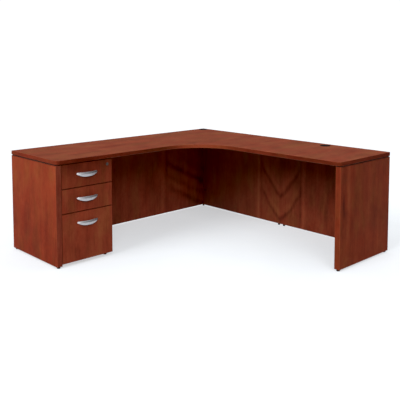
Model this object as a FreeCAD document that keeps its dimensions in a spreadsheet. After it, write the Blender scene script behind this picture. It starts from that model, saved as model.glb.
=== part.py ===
"""Corner desk with a three-drawer pedestal.

Frame: millimetres, +Z up, origin on the floor under the middle of the square that the two arms span.
The back corner is at (-X, +Y). The right arm runs from it along +X, the left arm along -Y.
The drawers stand at the end of the left arm and open along +X.
"""

import FreeCAD, Part
import math
import os
import re

import Sketcher

SIZES = {
    # worktop
    "right_arm": 1981,
    "left_arm": 1981,
    "desk_height": 749,
    "top_thick": 28.6,
    "top_depth": 641,
    "inner_radius": 368,
    "corner_radius": 28,
    "top_ease": 1.8,
    # supports
    "reveal_gap": 6.4,
    "panel_depth": 630,
    "end_thick": 41.3,
    "modesty_thick": 19,
    "panel_foot": 12,
    "board_ease": 1,
    "strip_inset": 5,
    "back_strip_inset": 4,
    "strip_width": 11,
    # pedestal case
    "case_width": 417.7,
    "case_thick": 16,
    "case_foot": 24,
    "case_back_thick": 9,
    "rail_depth": 60,
    # drawers
    "front_thick": 19,
    "front_gap": 4,
    "front_side_gap": 1.2,
    "front_ease": 1.2,
    "box_front_height": 168,
    "file_front_height": 345.5,
    "side_thick": 12,
    "box_length": 520,
    "box_side_height": 95,
    "file_side_height": 250,
    "box_lift": 24,
    "bottom_thick": 6,
    "bottom_lift": 10,
    "groove_depth": 6,
    "file_rail_height": 14,
    "file_rail_thick": 3,
    # telescopic slides
    "slide_room": 13,
    "slide_length": 508,
    "slide_metal": 1.2,
    "slide_lift": 40,
    "outer_height": 46,
    "outer_width": 9.5,
    "middle_height": 36.8,
    "middle_width": 8.6,
    "middle_offset": 2.4,
    "inner_height": 27.6,
    "inner_width": 8,
    # crescent pulls
    "pull_span": 181,
    "pull_height": 31,
    "pull_bow": 22,
    "pull_band": 6,
    "pull_tip": 5,
    "pull_flat": 30,
    "pull_ridge": 18,
    "pull_upper_fall": 4.2,
    "pull_lower_fall": 3.2,
    "pull_drop": 69,
    "pull_along": 249.5,
    "pull_bevel": 0.8,
    "post_spacing": 96,
    "post_radius": 4.5,
    "post_length": 10.5,
    "pull_screw_radius": 2,
    "pull_screw_drop": 10,
    "pull_screw_reach": 7,
    "pull_thread_depth": 9,
    # lock
    "lock_along": 419,
    "lock_drop": 35.5,
    "lock_radius": 9.5,
    "bezel_radius": 11,
    "bezel_thick": 2,
    "lock_tail": 7,
    "plug_radius": 6,
    "plug_proud": 0.6,
    "keyway_long": 5.5,
    "keyway_wide": 1.2,
    "keyway_deep": 3,
    "cam_reach": 17,
    "cam_width": 9,
    "cam_thick": 2,
    "strike_drop": 8,
    "strike_width": 26,
    "strike_length": 14,
    "strike_room": 1.5,
    "strike_shift": 3,
    # grommets
    "grommet_radius": 31.75,
    "flange_radius": 40,
    "flange_thick": 2,
    "flange_ease": 1,
    "sleeve_wall": 2.4,
    "ledge_width": 2.2,
    "ledge_thick": 1.6,
    "cap_thick": 3,
    "notch_width": 20,
    "notch_depth": 15,
    "corner_grommet": 55,
    "right_grommet_along": 1470,
    "right_grommet_depth": 85,
    # glides
    "glide_radius": 12,
    "small_glide_radius": 9.4,
    "glide_foot": 10.5,
    "glide_ease": 1.2,
    "neck_radius": 6,
    "stem_radius": 4,
    "stem_length": 22,
    "case_stem_length": 12,
    "end_glide_front": 18,
    "end_glide_back": 20,
    "corner_glide_along": 15,
    "near_glide_along": 955,
    "far_glide_along": 1009,
    "case_glide_front": 576,
    "case_glide_back": 80,
    "case_glide_along": 428,
    # brackets and screws
    "bracket_leg": 35,
    "bracket_width": 30,
    "bracket_metal": 2.5,
    "bracket_hole": 20,
    "screw_radius": 2,
    "screw_head_radius": 4.5,
    "screw_head": 2.2,
    "slot_long": 5.4,
    "slot_wide": 0.9,
    "slot_deep": 0.9,
    "bracket_screw_length": 14,
    "pedestal_screw_length": 36,
    "left_bracket_near": 720,
    "left_bracket_far": 1420,
    "back_bracket_near": 500,
    "back_bracket_far": 1250,
    "end_bracket_near": 170,
    "end_bracket_far": 470,
    "low_bracket_height": 150,
    "high_bracket_height": 600,
    "case_screw_back": 110,
    "case_screw_front": 540,
    "case_screw_low": 130,
    "case_screw_high": 640,
    "rail_screw_inset": 100,
    # clearances
    "hole_clearance": 0.1,
    "running_clearance": 0.05,
    "cap_clearance": 0.35,
    "overshoot": 1,
}

# Millimetres within which two lengths, or two places of an edge, count as the same.
SAME_LENGTH = 0.01
SAME_PLACE = 0.1

# Formulas for the planes that many pieces share.
LEFT = "(-right_arm/2)"
RIGHT = "(right_arm/2)"
BACK = "(left_arm/2)"
FRONT = "(-left_arm/2)"
TOP_UNDERSIDE = "(desk_height-top_thick)"
SUPPORT_TOP = "(desk_height-top_thick-reveal_gap)"
SUPPORT_HEIGHT = "(desk_height-top_thick-reveal_gap-panel_foot)"
CASE_START = f"({FRONT}+end_thick)"
CASE_END = f"({FRONT}+end_thick+case_width)"
CASE_FRONT = f"({LEFT}+panel_depth-front_thick-front_gap)"
CASE_DEPTH = "(panel_depth-front_thick-front_gap-modesty_thick)"
CASE_HEIGHT = "(desk_height-top_thick-reveal_gap-case_foot)"
CASE_INSIDE = "(case_width-2*case_thick)"
FRONT_BACK_FACE = f"({LEFT}+panel_depth-front_thick)"
BOX_BACK = f"({FRONT_BACK_FACE}-box_length)"
BOX_LEFT = f"({CASE_START}+case_thick+slide_room)"
BOX_RIGHT = f"({CASE_END}-case_thick-slide_room)"
BOX_WIDTH = "(case_width-2*case_thick-2*slide_room)"
SLIDE_BACK = f"({FRONT_BACK_FACE}-slide_length-slide_metal)"
PULL_CENTRE = f"({FRONT}+pull_along)"
LOCK_Y = f"({FRONT}+lock_along)"
SCREW_HOLE = "(screw_radius+hole_clearance)"
RIGHT_UPRIGHT_ALONG = "right_arm-end_thick-bracket_hole"
PULL_RADIUS = "(((pull_span/2)^2+pull_bow^2)/(2*pull_bow))"
PULL_CHORD = f"({PULL_RADIUS}-pull_bow)"
SMILE_DEPTH = "(pull_height-pull_tip)"
SMILE_RADIUS = f"((((pull_span-pull_flat)/2)^2+{SMILE_DEPTH}^2)/(2*{SMILE_DEPTH}))"

# Each drawer: name, formula of its front's lower edge, its front's height and its sides' height.
DRAWERS = {
    "file": ("case_foot", "file_front_height", "file_side_height"),
    "middle": ("(case_foot+file_front_height+front_gap)", "box_front_height", "box_side_height"),
    "top": (
        "(case_foot+file_front_height+box_front_height+2*front_gap)",
        "box_front_height",
        "box_side_height",
    ),
}

LEFT_END_MIDDLE = f"{FRONT}+end_thick/2"
RIGHT_END_MIDDLE = f"{RIGHT}-end_thick/2"
MODESTY_MIDDLE = f"{BACK}-modesty_thick/2"

# Each glide: name, place along +X and +Y, radius of its foot, height of the board that it carries.
GLIDES = {
    "left_front": (f"{LEFT}+panel_depth-end_glide_front", LEFT_END_MIDDLE, "glide_radius", "panel_foot"),
    "left_back": (f"{LEFT}+end_glide_back", LEFT_END_MIDDLE, "glide_radius", "panel_foot"),
    "right_front": (RIGHT_END_MIDDLE, f"{BACK}-panel_depth+end_glide_front", "glide_radius", "panel_foot"),
    "right_back": (RIGHT_END_MIDDLE, f"{BACK}-end_glide_back", "glide_radius", "panel_foot"),
    "corner": (f"{LEFT}+corner_glide_along", MODESTY_MIDDLE, "small_glide_radius", "panel_foot"),
    "middle_near": (f"{LEFT}+near_glide_along", MODESTY_MIDDLE, "small_glide_radius", "panel_foot"),
    "middle_far": (f"{LEFT}+far_glide_along", MODESTY_MIDDLE, "small_glide_radius", "panel_foot"),
    "pedestal_front": (f"{LEFT}+case_glide_front", f"{FRONT}+case_glide_along", "glide_radius", "case_foot"),
    "pedestal_back": (f"{LEFT}+case_glide_back", f"{FRONT}+case_glide_along", "glide_radius", "case_foot"),
}

# Each bracket under the worktop: the wall's inner face that it stands on and its place along that wall.
TOP_BRACKETS = (
    (f"{LEFT}+modesty_thick", f"{FRONT}+left_bracket_near", "east"),
    (f"{LEFT}+modesty_thick", f"{FRONT}+left_bracket_far", "east"),
    (f"{LEFT}+back_bracket_near", f"{BACK}-modesty_thick", "south"),
    (f"{LEFT}+back_bracket_far", f"{BACK}-modesty_thick", "south"),
    (f"{RIGHT}-end_thick", f"{BACK}-end_bracket_near", "west"),
    (f"{RIGHT}-end_thick", f"{BACK}-end_bracket_far", "west"),
)
# Each wall's direction: the unit vector that its inner face looks along, and the turn from +X in degrees.
FACING = {"east": (1, 0, 0), "south": (0, -1, -90), "west": (-1, 0, 180)}
UPRIGHT_BRACKET_HEIGHTS = ("low_bracket_height", "high_bracket_height")

doc = FreeCAD.newDocument("corner_desk")
sheet = doc.addObject("Spreadsheet::Sheet", "Sizes")
nodes = []


def fill_sheet():
    for row, (alias, number) in enumerate(SIZES.items(), start=1):
        sheet.set(f"A{row}", alias)
        sheet.set(f"B{row}", str(number))
        sheet.setAlias(f"B{row}", alias)
    doc.recompute()


def linked(formula):
    """The formula with each alias written as a reference to the sheet."""
    return re.sub(r"[a-z][a-z_]+", lambda word: "Sizes." + word.group(), str(formula))


def value(formula):
    return float(sheet.evalExpression(linked(formula)))


def less(formula, start):
    """The formula of a place seen from another one."""
    return f"({formula})-({start})"


def bind(obj, prop, formula):
    obj.setExpression(prop, linked(formula))


def place(obj, x, y, z, rotation=None):
    """Puts an object at formulas x, y, z, turned by rotation where one is given."""
    if rotation is not None:
        obj.Placement = FreeCAD.Placement(FreeCAD.Vector(0, 0, 0), rotation)
    bind(obj, "Placement.Base.x", x)
    bind(obj, "Placement.Base.y", y)
    bind(obj, "Placement.Base.z", z)


def turn(x, y, z, degrees):
    return FreeCAD.Rotation(FreeCAD.Vector(x, y, z), degrees)


ALONG_X = turn(0, 1, 0, 90)
ALONG_MINUS_X = turn(0, 1, 0, -90)
ALONG_Y = turn(1, 0, 0, -90)
ALONG_MINUS_Y = turn(1, 0, 0, 90)


def keep(obj, label):
    """Marks an object as one of the desk's sub-parts."""
    obj.Label = label
    nodes.append(obj)
    return obj


def new_body(name):
    return doc.addObject("PartDesign::Body", name)


def origin_plane(body, role):
    return next(plane for plane in body.Origin.OriginFeatures if plane.Role == role)


def new_sketch(body, name, role):
    sketch = body.newObject("Sketcher::SketchObject", name)
    sketch.AttachmentSupport = (origin_plane(body, role), [""])
    sketch.MapMode = "FlatFace"
    return sketch


def step_outline(sketch, moves):
    """Draws a closed outline of level and upright lines from the sketch's origin.

    Each move is a direction, +x, -x, +y or -y, and the formula of its length. The last two lines close the
    outline, so their lengths aren't dimensioned.
    """
    point = FreeCAD.Vector(0, 0, 0)
    count = len(moves)
    for direction, formula in moves:
        step = value(formula) * (1 if direction[0] == "+" else -1)
        shift = FreeCAD.Vector(step, 0, 0) if direction[1] == "x" else FreeCAD.Vector(0, step, 0)
        sketch.addGeometry(Part.LineSegment(point, point + shift), False)
        point = point + shift
    for line in range(count):
        sketch.addConstraint(Sketcher.Constraint("Coincident", line, 2, (line + 1) % count, 1))
    sketch.addConstraint(Sketcher.Constraint("Coincident", 0, 1, -1, 1))
    for line, (direction, formula) in enumerate(moves):
        level = direction[1] == "x"
        sketch.addConstraint(Sketcher.Constraint("Horizontal" if level else "Vertical", line))
        if line < count - 2:
            ends = (1, 2) if direction[0] == "+" else (2, 1)
            kind = "DistanceX" if level else "DistanceY"
            rule = Sketcher.Constraint(kind, line, ends[0], line, ends[1], value(formula))
            index = sketch.addConstraint(rule)
            sketch.renameConstraint(index, f"line{line}")
            bind(sketch, f"Constraints.line{line}", formula)


def pad(body, sketch, formula):
    feature = body.newObject("PartDesign::Pad", sketch.Name + "_pad")
    feature.Profile = sketch
    bind(feature, "Length", formula)
    doc.recompute()
    return feature


def edge_names(feature, wanted):
    edges = enumerate(feature.Shape.Edges, start=1)
    return [f"Edge{number}" for number, edge in edges if wanted(edge)]


def ease(body, feature, formula, wanted=lambda edge: True):
    """Chamfers the wanted edges of a body's last feature."""
    chamfer = body.newObject("PartDesign::Chamfer", feature.Name + "_eased")
    chamfer.Base = (feature, edge_names(feature, wanted))
    bind(chamfer, "Size", formula)
    doc.recompute()
    return chamfer


def round_edges(body, feature, formula, wanted):
    fillet = body.newObject("PartDesign::Fillet", feature.Name + "_round")
    fillet.Base = (feature, edge_names(feature, wanted))
    bind(fillet, "Radius", formula)
    doc.recompute()
    return fillet


def add_block(body, name, lengths, corner, kind="Additive"):
    block = body.newObject(f"PartDesign::{kind}Box", name)
    for prop, formula in zip(("Length", "Width", "Height"), lengths):
        bind(block, prop, formula)
    place(block, *corner)
    return block


def add_post(body, name, radius, length, start, rotation=None, kind="Additive"):
    post = body.newObject(f"PartDesign::{kind}Cylinder", name)
    bind(post, "Radius", radius)
    bind(post, "Height", length)
    place(post, *start, rotation)
    return post


def drill(body, name, radius, depth, start, rotation=None):
    """Drills a round hole whose mouth is at start, in the body's own frame, and checks that it cuts."""
    doc.recompute()
    before = body.Shape.Volume
    hole = add_post(body, name, radius, depth, start, rotation, kind="Subtractive")
    doc.recompute()
    if body.Shape.Volume >= before:
        raise ValueError(f"{name} cuts nothing")
    return hole


def board(label, lengths, corner, eased=None):
    """A flat board of formulas lengths, with its low corner at formulas corner and its edges chamfered by
    the formula eased, where that is given."""
    body = new_body(label)
    block = add_block(body, label + "_block", lengths, ("0", "0", "0"))
    place(body, *corner)
    doc.recompute()
    if eased:
        ease(body, block, eased)
    return body


def turned(name, moves, eased=None, wanted=None):
    """A round piece turned about its own Z axis from a stepped profile that starts on the axis."""
    body = new_body(name)
    sketch = new_sketch(body, name + "_profile", "XZ_Plane")
    step_outline(sketch, moves)
    solid = body.newObject("PartDesign::Revolution", name + "_turned")
    solid.Profile = sketch
    solid.ReferenceAxis = (sketch, ["V_Axis"])
    solid.Angle = 360
    doc.recompute()
    if eased:
        ease(body, solid, eased, wanted)
    return body


def compound(label, pieces):
    group = doc.addObject("Part::Compound", label)
    group.Links = pieces
    return keep(group, label)


def copies(label, pattern, placements):
    """One sub-part of separate equal solids: the pattern's shape at each placement."""
    solids = []
    for placement in placements:
        solid = pattern.Shape.copy()
        solid.Placement = placement.multiply(pattern.Shape.Placement)
        solids.append(solid)
    group = doc.addObject("Part::Feature", label)
    group.Shape = Part.makeCompound(solids)
    group.Placement = FreeCAD.Placement()
    return keep(group, label)


def at(x, y, z, rotation=None):
    return FreeCAD.Placement(FreeCAD.Vector(value(x), value(y), value(z)), rotation or FreeCAD.Rotation())


# ---------------------------------------------------------------------------------------------- worktop


def is_upright(edge):
    low, high = edge.BoundBox.ZMin, edge.BoundBox.ZMax
    return edge.BoundBox.DiagonalLength < high - low + SAME_LENGTH and high > low


def stands_at(edge, x, y):
    point = edge.CenterOfMass
    return is_upright(edge) and max(abs(point.x - x), abs(point.y - y)) < SAME_PLACE


def make_worktop():
    """L-shaped slab. Its frame's origin is the back corner of its underside."""
    body = new_body("worktop")
    sketch = new_sketch(body, "worktop_outline", "XY_Plane")
    moves = (
        ("+x", "right_arm"),
        ("-y", "top_depth"),
        ("-x", "right_arm-top_depth"),
        ("-y", "left_arm-top_depth"),
        ("-x", "top_depth"),
        ("+y", "left_arm"),
    )
    step_outline(sketch, moves)
    slab = pad(body, sketch, "top_thick")
    place(body, LEFT, BACK, TOP_UNDERSIDE)
    depth = value("top_depth")

    def at_inner_corner(edge):
        return stands_at(edge, depth, -depth)

    def at_front_corner(edge):
        at_right = stands_at(edge, value("right_arm"), -depth)
        return at_right or stands_at(edge, depth, -value("left_arm"))

    curved = round_edges(body, slab, "inner_radius", at_inner_corner)
    rounded = round_edges(body, curved, "corner_radius", at_front_corner)
    ease(body, rounded, "top_ease", lambda edge: edge.BoundBox.ZLength < SAME_LENGTH)
    for name, x, depth_in in grommet_places():
        drill(body, f"{name}_grommet_hole", "grommet_radius", "top_thick+2*overshoot",
              (x, f"-{depth_in}", "-overshoot"))
    for number, (x, y, facing) in enumerate(TOP_BRACKETS):
        east, north, _ = FACING[facing]
        mouth_x = f"{less(x, LEFT)}+({east})*bracket_hole"
        mouth_y = f"{less(y, BACK)}+({north})*bracket_hole"
        mouth = (mouth_x, mouth_y, "-overshoot")
        drill(body, f"top_pilot_{number}", SCREW_HOLE, "bracket_screw_length+overshoot", mouth)
    for number, (x, y) in enumerate(pedestal_screw_places()):
        mouth = (less(x, LEFT), less(y, BACK), "-overshoot")
        depth_in = "pedestal_screw_length-case_thick-reveal_gap+2*overshoot"
        drill(body, f"pedestal_pilot_{number}", SCREW_HOLE, depth_in, mouth)
    keep(body, "worktop")


def grommet_places():
    """Name, distance along the right arm and distance from the back edge of each cable grommet."""
    return (
        ("corner", "corner_grommet", "corner_grommet"),
        ("right", "right_grommet_along", "right_grommet_depth"),
    )


# ------------------------------------------------------------------------------------- panels and strips


def drill_for_glide(body, name, corner):
    """Bores the hole for a glide's stem in a board whose low corner is at the formulas corner."""
    x, y, _, foot = GLIDES[name]
    stem = "case_stem_length" if foot == "case_foot" else "stem_length"
    mouth = (less(x, corner[0]), less(y, corner[1]), "-overshoot")
    drill(body, f"{name}_stem_hole", "stem_radius+running_clearance", f"{stem}+2*overshoot", mouth)


def make_left_end_panel():
    corner = (LEFT, FRONT, "panel_foot")
    body = board("left_end_panel", ("panel_depth", "end_thick", SUPPORT_HEIGHT), corner, "board_ease")
    drill_for_glide(body, "left_front", corner)
    drill_for_glide(body, "left_back", corner)
    for number, (x, z) in enumerate(side_screw_places()):
        mouth = (less(x, LEFT), "end_thick+overshoot", less(z, "panel_foot"))
        depth_in = "pedestal_screw_length-case_thick+2*overshoot"
        drill(body, f"case_pilot_{number}", SCREW_HOLE, depth_in, mouth, ALONG_MINUS_Y)
    keep(body, "left_end_panel")


def make_right_end_panel():
    corner = (f"{RIGHT}-end_thick", f"{BACK}-panel_depth", "panel_foot")
    body = board("right_end_panel", ("end_thick", "panel_depth", SUPPORT_HEIGHT), corner, "board_ease")
    drill_for_glide(body, "right_front", corner)
    drill_for_glide(body, "right_back", corner)
    drill_bracket_walls(body, "right_end_panel", corner, "west")
    for number, height in enumerate(UPRIGHT_BRACKET_HEIGHTS):
        along = less(f"{BACK}-modesty_thick-bracket_hole", corner[1])
        mouth = ("-overshoot", along, less(height, "panel_foot"))
        drill_pilot(body, f"right_end_upright_{number}", mouth, ALONG_X)
    keep(body, "right_end_panel")


def make_left_modesty_panel():
    corner = (LEFT, CASE_START, "panel_foot")
    length = "(left_arm-end_thick-modesty_thick)"
    body = board("left_modesty_panel", ("modesty_thick", length, SUPPORT_HEIGHT), corner, "board_ease")
    drill_bracket_walls(body, "left_modesty_panel", corner, "east")
    for number, height in enumerate(UPRIGHT_BRACKET_HEIGHTS):
        along = less(f"{BACK}-modesty_thick-bracket_hole", corner[1])
        mouth = ("modesty_thick+overshoot", along, less(height, "panel_foot"))
        drill_pilot(body, f"left_modesty_upright_{number}", mouth, ALONG_MINUS_X)
    keep(body, "left_modesty_panel")


def make_right_modesty_panel():
    corner = (LEFT, f"{BACK}-modesty_thick", "panel_foot")
    lengths = ("(right_arm-end_thick)", "modesty_thick", SUPPORT_HEIGHT)
    body = board("right_modesty_panel", lengths, corner, "board_ease")
    for name in ("corner", "middle_near", "middle_far"):
        drill_for_glide(body, name, corner)
    drill_bracket_walls(body, "right_modesty_panel", corner, "south")
    for number, height in enumerate(UPRIGHT_BRACKET_HEIGHTS):
        for end, along in (("corner", "modesty_thick+bracket_hole"), ("end", RIGHT_UPRIGHT_ALONG)):
            mouth = (along, "-overshoot", less(height, "panel_foot"))
            drill_pilot(body, f"right_modesty_{end}_{number}", mouth, ALONG_Y)
    keep(body, "right_modesty_panel")


def drill_pilot(body, name, mouth, rotation):
    drill(body, name, SCREW_HOLE, "bracket_screw_length+overshoot", mouth, rotation)


def drill_bracket_walls(body, name, corner, wall):
    """Drills the pilot holes of the brackets that stand on one wall, below the worktop."""
    rotations = {"east": ALONG_MINUS_X, "south": ALONG_Y, "west": ALONG_X}
    for number, (x, y, facing) in enumerate(TOP_BRACKETS):
        if facing == wall:
            east, north, _ = FACING[facing]
            mouth_x = f"{less(x, corner[0])}+({east})*overshoot"
            mouth_y = f"{less(y, corner[1])}+({north})*overshoot"
            mouth = (mouth_x, mouth_y, f"{TOP_UNDERSIDE}-bracket_hole-panel_foot")
            drill_pilot(body, f"{name}_wall_{number}", mouth, rotations[wall])


def make_reveal_strips():
    """Black strips that space the worktop from its supports, set back so that a dark line shows."""
    length = "(panel_depth-2*strip_inset)"
    wide = "(end_thick-2*strip_inset)"
    left = board("left_strip", (length, wide, "reveal_gap"), (
        f"{LEFT}+strip_inset", f"{FRONT}+strip_inset", SUPPORT_TOP))
    right = board("right_strip", (wide, length, "reveal_gap"), (
        f"{RIGHT}-end_thick+strip_inset", f"{BACK}-panel_depth+strip_inset", SUPPORT_TOP))
    case = board("case_strip", (f"({CASE_DEPTH}-strip_inset)", "strip_width", "reveal_gap"), (
        f"{LEFT}+modesty_thick", f"{CASE_END}-strip_inset-strip_width", SUPPORT_TOP))
    compound("support_reveal_strips", [left, right, case])
    left_back = board("left_back_strip", (
        "strip_width", "(left_arm-2*end_thick)", "reveal_gap"), (
        f"{LEFT}+back_strip_inset", f"{FRONT}+end_thick", SUPPORT_TOP))
    right_back = board("right_back_strip", (
        "(right_arm-2*end_thick)", "strip_width", "reveal_gap"), (
        f"{LEFT}+end_thick", f"{BACK}-back_strip_inset-strip_width", SUPPORT_TOP))
    compound("back_reveal_strips", [left_back, right_back])


# --------------------------------------------------------------------------------------- pedestal case


def side_screw_places():
    """Place along +X and height of the screws between the case and the left end panel."""
    places = (f"{LEFT}+case_screw_back", f"{LEFT}+case_screw_front")
    return [(x, z) for x in places for z in ("case_screw_low", "case_screw_high")]


def pedestal_screw_places():
    """Place along +X and +Y of the screws that go up through the top rails."""
    rows = (f"{LEFT}+modesty_thick+case_back_thick+rail_depth/2", f"{CASE_FRONT}-rail_depth/2")
    ends = (f"{CASE_START}+rail_screw_inset", f"{CASE_END}-rail_screw_inset")
    return [(x, y) for x in rows for y in ends]


def make_pedestal_sides():
    lengths = (CASE_DEPTH, "case_thick", CASE_HEIGHT)
    corner = (f"{LEFT}+modesty_thick", CASE_START, "case_foot")
    left = board("pedestal_left_side", lengths, corner)
    for number, (x, z) in enumerate(side_screw_places()):
        mouth = (less(x, corner[0]), "case_thick+overshoot", less(z, "case_foot"))
        drill(left, f"case_hole_{number}", SCREW_HOLE, "case_thick+2*overshoot", mouth, ALONG_MINUS_Y)
    keep(left, "pedestal_left_side")
    corner = (f"{LEFT}+modesty_thick", f"{CASE_END}-case_thick", "case_foot")
    keep(board("pedestal_right_side", lengths, corner, "board_ease"), "pedestal_right_side")


def make_pedestal_inside():
    inside_y = f"{CASE_START}+case_thick"
    corner = (f"{LEFT}+modesty_thick", inside_y, "case_foot")
    bottom = board("pedestal_bottom", (CASE_DEPTH, CASE_INSIDE, "case_thick"), corner)
    drill_for_glide(bottom, "pedestal_front", corner)
    drill_for_glide(bottom, "pedestal_back", corner)
    keep(bottom, "pedestal_bottom")
    height = f"({CASE_HEIGHT}-case_thick)"
    corner = (f"{LEFT}+modesty_thick", inside_y, "case_foot+case_thick")
    keep(board("pedestal_back", ("case_back_thick", CASE_INSIDE, height), corner), "pedestal_back")
    rails = []
    starts = (f"{LEFT}+modesty_thick+case_back_thick", f"{CASE_FRONT}-rail_depth")
    for number, x in enumerate(starts):
        corner = (x, inside_y, f"{SUPPORT_TOP}-case_thick")
        rail = board(f"top_rail_{number}", ("rail_depth", CASE_INSIDE, "case_thick"), corner)
        for hole, (screw_x, screw_y) in enumerate(pedestal_screw_places()[2 * number:2 * number + 2]):
            mouth = (less(screw_x, x), less(screw_y, inside_y), "-overshoot")
            drill(rail, f"rail_{number}_{hole}", SCREW_HOLE, "case_thick+2*overshoot", mouth)
        rails.append(rail)
    compound("pedestal_top_rails", rails)


def channel(name, height, width):
    """A slide member: an open channel along +X, with its web at Y 0 and its lips towards +Y."""
    body = new_body(name)
    sketch = new_sketch(body, name + "_section", "YZ_Plane")
    lip = f"({width}-slide_metal)"
    moves = (
        ("+x", width),
        ("+y", "slide_metal"),
        ("-x", lip),
        ("+y", f"({height}-2*slide_metal)"),
        ("+x", lip),
        ("+y", "slide_metal"),
        ("-x", width),
        ("-y", height),
    )
    step_outline(sketch, moves)
    pad(body, sketch, "slide_length")
    return body


def channel_pair(label, z, height, width, offset, web_on_case):
    """Left and right members of one kind, their webs at offset from the case's inner faces."""
    flip = turn(1, 0, 0, 180)
    left = channel(label + "_left", height, width)
    right = channel(label + "_right", height, width)
    left_y = f"{CASE_START}+case_thick+{offset}"
    right_y = f"{CASE_END}-case_thick-{offset}"
    low, high = f"{z}-{height}/2", f"{z}+{height}/2"
    if web_on_case:
        place(left, SLIDE_BACK, left_y, low)
        place(right, SLIDE_BACK, right_y, high, flip)
    else:
        place(left, SLIDE_BACK, left_y, high, flip)
        place(right, SLIDE_BACK, right_y, low)
    return [left, right]


def slide_centre(drawer):
    return f"({DRAWERS[drawer][0]}+box_lift+slide_lift)"


def make_case_slides():
    pieces = []
    for drawer in DRAWERS:
        z = slide_centre(drawer)
        pieces += channel_pair(f"{drawer}_outer", z, "outer_height", "outer_width", "0", True)
    compound("case_slide_members", pieces)


# ---------------------------------------------------------------------------------------------- drawers


def make_drawer_front(drawer, low, height):
    label = f"{drawer}_drawer_front"
    body = new_body(label)
    width = "(case_width-front_side_gap)"
    block = add_block(body, label + "_block", ("front_thick", width, height), ("0", "0", "0"))
    place(body, FRONT_BACK_FACE, f"{CASE_START}+front_side_gap", low)
    doc.recompute()
    face = value("front_thick")
    ease(body, block, "front_ease", lambda edge: edge.BoundBox.XMin > face - SAME_LENGTH)
    for side in (-1, 1):
        y = f"{less(PULL_CENTRE, CASE_START)}-front_side_gap+({side})*post_spacing/2"
        mouth = ("-overshoot", y, f"{height}-pull_drop-pull_screw_drop")
        name = f"{drawer}_pull_hole_{side + 1}"
        drill(body, name, "pull_screw_radius+hole_clearance", "front_thick+2*overshoot", mouth, ALONG_X)
    if drawer == "top":
        mouth = ("-overshoot", f"{less(LOCK_Y, CASE_START)}-front_side_gap", f"{height}-lock_drop")
        drill(body, "lock_hole", "lock_radius+hole_clearance", "front_thick+2*overshoot", mouth, ALONG_X)
    keep(body, label)


def make_drawer_box(drawer, low, side_height):
    floor = f"({low}+box_lift)"
    for side, y in (("left", BOX_LEFT), ("right", f"{BOX_RIGHT}-side_thick")):
        label = f"{drawer}_drawer_{side}_side"
        body = board(label, ("box_length", "side_thick", side_height), (BOX_BACK, y, floor))
        groove_y = "side_thick-groove_depth" if side == "left" else "0"
        groove = ("box_length", "groove_depth", "bottom_thick")
        add_block(body, label + "_groove", groove, ("0", groove_y, "bottom_lift"), kind="Subtractive")
        keep(body, label)
    inside = f"({BOX_WIDTH}-2*side_thick)"
    lift = "(bottom_lift+bottom_thick)"
    corner = (BOX_BACK, f"{BOX_LEFT}+side_thick", f"{floor}+{lift}")
    back = board(f"{drawer}_drawer_back", ("side_thick", inside, f"({side_height}-{lift})"), corner)
    keep(back, f"{drawer}_drawer_back")
    corner = (BOX_BACK, f"{BOX_LEFT}+side_thick-groove_depth", f"{floor}+bottom_lift")
    lengths = ("box_length", f"({inside}+2*groove_depth)", "bottom_thick")
    keep(board(f"{drawer}_drawer_bottom", lengths, corner), f"{drawer}_drawer_bottom")


def pull_section(body):
    """The bow's section: flat behind, and in front two faces that meet at a ridge, with a bevel on top."""
    sketch = new_sketch(body, body.Name + "_section", "XZ_Plane")
    points = (
        (f"{PULL_RADIUS}-pull_band", "0"),
        (f"{PULL_RADIUS}-pull_lower_fall", "0"),
        (PULL_RADIUS, "pull_ridge"),
        (f"{PULL_RADIUS}-pull_upper_fall", "pull_height-pull_bevel"),
        (f"{PULL_RADIUS}-pull_upper_fall-pull_bevel", "pull_height"),
        (f"{PULL_RADIUS}-pull_band", "pull_height"),
    )
    corners = [FreeCAD.Vector(value(x), value(z), 0) for x, z in points]
    for start, end in zip(corners, corners[1:] + corners[:1]):
        sketch.addGeometry(Part.LineSegment(start, end), False)
    for line, (x, z) in enumerate(points):
        follower = (line + 1) % len(points)
        sketch.addConstraint(Sketcher.Constraint("Coincident", line, 2, follower, 1))
        name_distance(sketch, f"x{line}", Sketcher.Constraint("DistanceX", -1, 1, line, 1, value(x)), x)
        if z == "0":
            sketch.addConstraint(Sketcher.Constraint("PointOnObject", line, 1, -1))
        else:
            name_distance(sketch, f"z{line}", Sketcher.Constraint("DistanceY", -1, 1, line, 1, value(z)), z)
    return sketch


def name_distance(sketch, name, rule, formula):
    """Adds a dimension to a sketch under a name, bound to its formula."""
    sketch.renameConstraint(sketch.addConstraint(rule), name)
    bind(sketch, f"Constraints.{name}", formula)


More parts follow.
